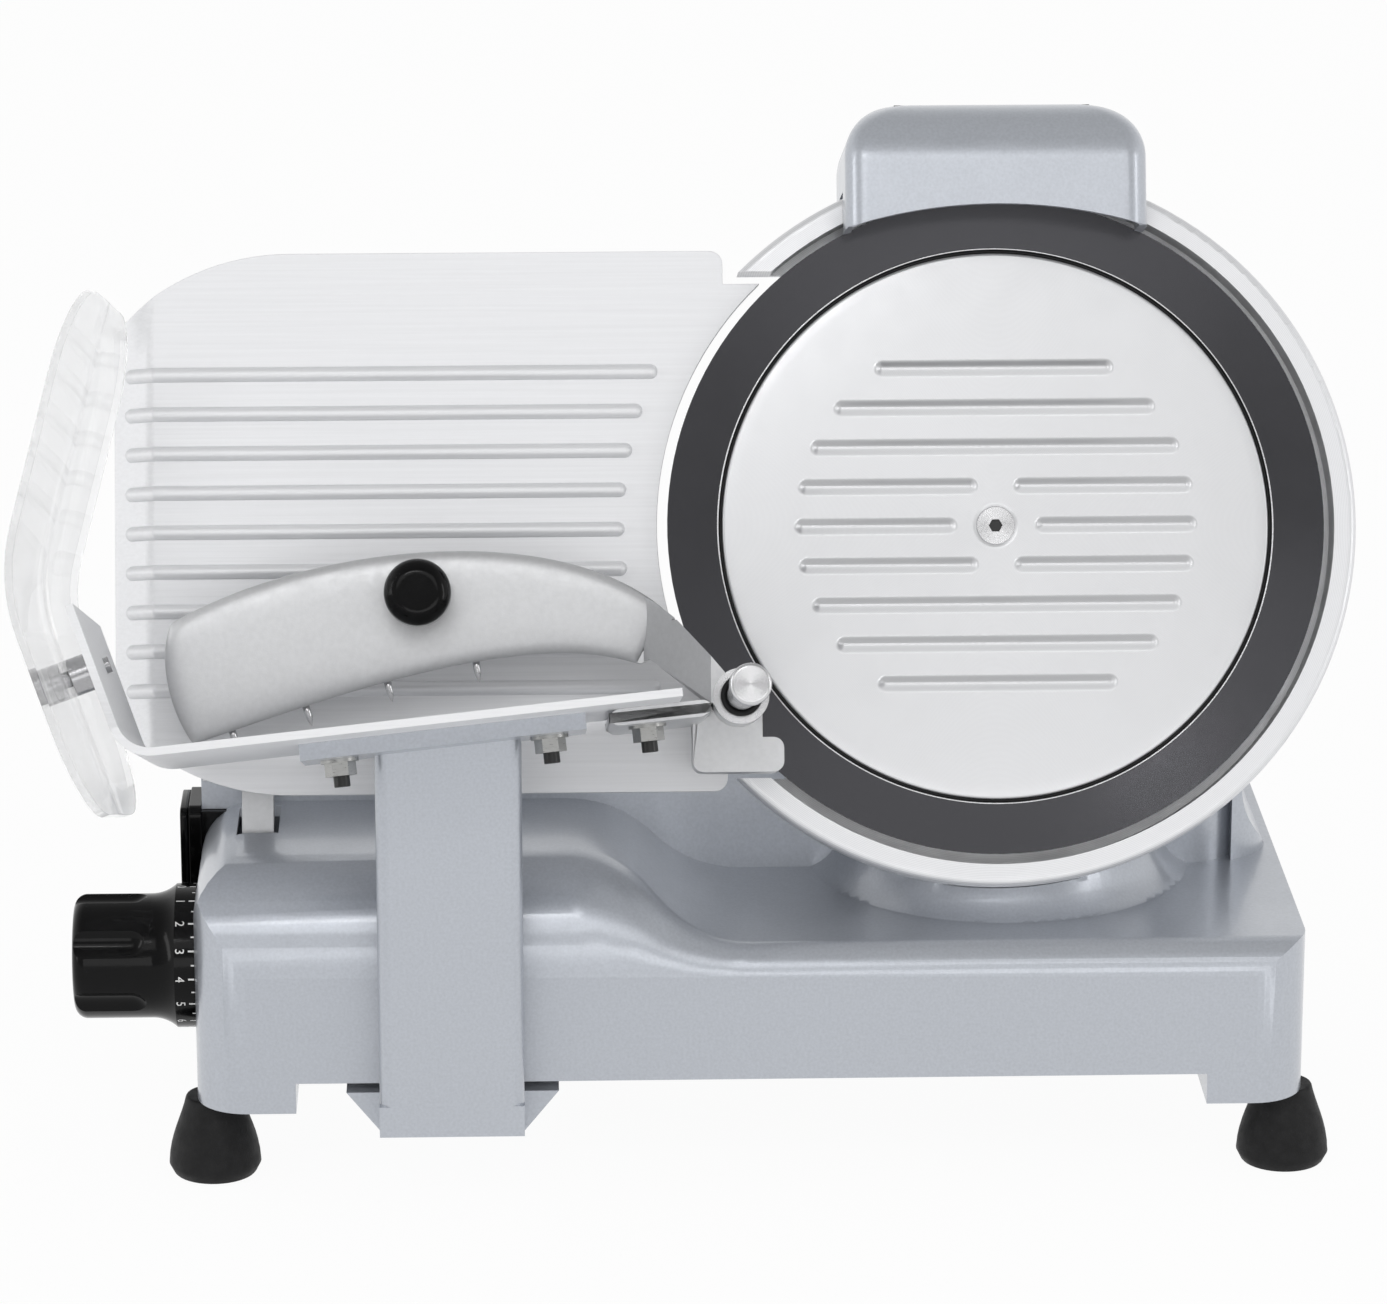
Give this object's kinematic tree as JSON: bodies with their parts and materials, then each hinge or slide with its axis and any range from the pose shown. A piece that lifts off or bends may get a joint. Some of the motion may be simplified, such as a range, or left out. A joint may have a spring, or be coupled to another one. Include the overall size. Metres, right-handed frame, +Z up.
{
  "type": "electric food slicer",
  "caption": "Table-top gravity slicer: tilted round blade in a guard ring on a cast base, ribbed thickness plate with a dial, sliding tray with pusher, clear hand guard and blade sharpener.",
  "frame": {"origin": "on the table, below the middle of the whole machine's bounding box", "axes": "+X to the right along the carriage's travel, +Y to the back, +Z up"},
  "size_m": [0.4991, 0.3497, 0.3908],
  "materials": {
    "paint": "satin silver-grey paint",
    "zinc": "zinc plated",
    "rubber": "matte",
    "bare_aluminium": "satin anodised",
    "cast_aluminium": "as cast",
    "stainless": "polished",
    "steel": "ground",
    "blade_steel": "polished",
    "motor_paint": "satin",
    "black_plastic": "gloss",
    "clear_plastic": "clear acrylic",
    "brass": "sintered bronze",
    "coarse_stone": "coarse abrasive",
    "fine_stone": "fine abrasive",
    "green_plastic": "gloss",
    "red_plastic": "gloss"
  },
  "bodies": {
    "base": {"base_casting": "paint", "base_plate": "zinc", "base_plate_screws": "zinc", "rubber_feet": "rubber", "foot_bolts": "zinc", "blade_guard_ring": "bare_aluminium", "ring_screws": "stainless", "blade_cover_plate": "bare_aluminium", "cover_plate_screw": "stainless", "blade_spindle": "steel", "blade_bearings": "steel", "motor_body": "motor_paint", "motor_screws": "zinc", "drive_belt": "rubber", "gauge_slide_bar": "steel", "slide_rod": "steel", "guide_rail": "steel", "sharpener_post": "steel", "switch_housing": "black_plastic", "cable_gland": "rubber"},
    "blade_disc": {"blade": "blade_steel", "blade_pulley": "cast_aluminium", "blade_screws": "stainless"},
    "rotor": {"motor_shaft": "steel", "motor_pulley": "cast_aluminium"},
    "dial": {"thickness_dial": "black_plastic", "dial_shaft": "steel", "dial_cam": "brass"},
    "gauge": {"gauge_plate": "bare_aluminium", "gauge_arm": "cast_aluminium", "gauge_screws": "zinc"},
    "carriage": {"carriage_column": "paint", "slider_block": "cast_aluminium", "slider_bushings": "brass", "slider_screws": "zinc", "roller_pin": "steel", "product_tray": "bare_aluminium", "tray_bolts": "stainless", "tray_nuts": "zinc", "rod_bracket": "cast_aluminium", "pusher_rod": "stainless", "rod_end_cap": "stainless", "hand_guard": "clear_plastic", "guard_stud": "stainless"},
    "roller": {"guide_roller": "black_plastic"},
    "pusher_sleeve": {"pusher_bush": "black_plastic"},
    "pusher": {"pusher_arm": "cast_aluminium", "pusher_spikes": "stainless", "pusher_knob": "black_plastic"},
    "sharpener": {"sharpener_cover": "paint", "sharpener_frame": "cast_aluminium"},
    "grinding_push": {"grinding_button": "black_plastic"},
    "grinding_wheel": {"grinding_stone": "coarse_stone"},
    "honing_push": {"honing_button": "black_plastic"},
    "honing_wheel": {"honing_stone": "fine_stone"},
    "start": {"start_button": "green_plastic"},
    "stop": {"stop_button": "red_plastic"}
  },
  "joints": [
    {"name": "blade_spin", "type": "hinge", "parent": "base", "child": "blade_disc", "pos_m": [0.1122, 0.0018, 0.238], "axis": [0, -0.9397, 0.342], "continuous": true},
    {"name": "motor_spin", "type": "hinge", "parent": "base", "child": "rotor", "pos_m": [0.1272, -0.03172, 0.14591], "axis": [0, -0.9397, 0.342], "continuous": true},
    {"name": "dial_turn", "type": "hinge", "parent": "base", "child": "dial", "pos_m": [-0.1928, -0.0232, 0.077], "axis": [-1, 0, 0], "range_deg": [-67.5, 270]},
    {"name": "gauge_slide", "type": "slide", "parent": "base", "child": "gauge", "axis": [0, 0.9397, -0.342], "range_m": [-0.003, 0.012]},
    {"name": "carriage_slide", "type": "slide", "parent": "base", "child": "carriage", "axis": [1, 0, 0], "range_m": [-0.016, 0.23]},
    {"name": "roller_spin", "type": "hinge", "parent": "carriage", "child": "roller", "pos_m": [-0.0958, -0.0612, 0.0684], "axis": [0, 1, 0], "continuous": true},
    {"name": "pusher_slide", "type": "slide", "parent": "carriage", "child": "pusher_sleeve", "axis": [0, -0.9397, 0.342], "range_m": [0, 0.08]},
    {"name": "pusher_lift", "type": "hinge", "parent": "pusher_sleeve", "child": "pusher", "pos_m": [0.0122, -0.02111, 0.17504], "axis": [0, 0.9397, -0.342], "range_deg": [0, 85]},
    {"name": "sharpener_lift", "type": "slide", "parent": "base", "child": "sharpener", "axis": [0, 0.342, 0.9397], "range_m": [0, 0.03]},
    {"name": "grinding_press", "type": "slide", "parent": "sharpener", "child": "grinding_push", "axis": [0, -0.9397, 0.342], "range_m": [0, 0.004], "stiffness_N_per_m": 600},
    {"name": "grinding_spin", "type": "hinge", "parent": "grinding_push", "child": "grinding_wheel", "pos_m": [0.0882, 0.04541, 0.37537], "axis": [0, -0.9397, 0.342], "continuous": true},
    {"name": "honing_press", "type": "slide", "parent": "sharpener", "child": "honing_push", "axis": [0, -0.9397, 0.342], "range_m": [0, 0.004], "stiffness_N_per_m": 600},
    {"name": "honing_spin", "type": "hinge", "parent": "honing_push", "child": "honing_wheel", "pos_m": [0.1362, 0.07642, 0.36408], "axis": [0, -0.9397, 0.342], "continuous": true},
    {"name": "start_press", "type": "slide", "parent": "base", "child": "start", "axis": [1, 0, 0], "range_m": [0, 0.003], "stiffness_N_per_m": 800},
    {"name": "stop_press", "type": "slide", "parent": "base", "child": "stop", "axis": [1, 0, 0], "range_m": [0, 0.003], "stiffness_N_per_m": 800}
  ],
  "couplings": [
    {"joint": "motor_spin", "follows": "blade_spin", "ratio": 2.7143},
    {"joint": "dial_turn", "follows": "gauge_slide", "rad_per_m": 392.7}
  ]
}
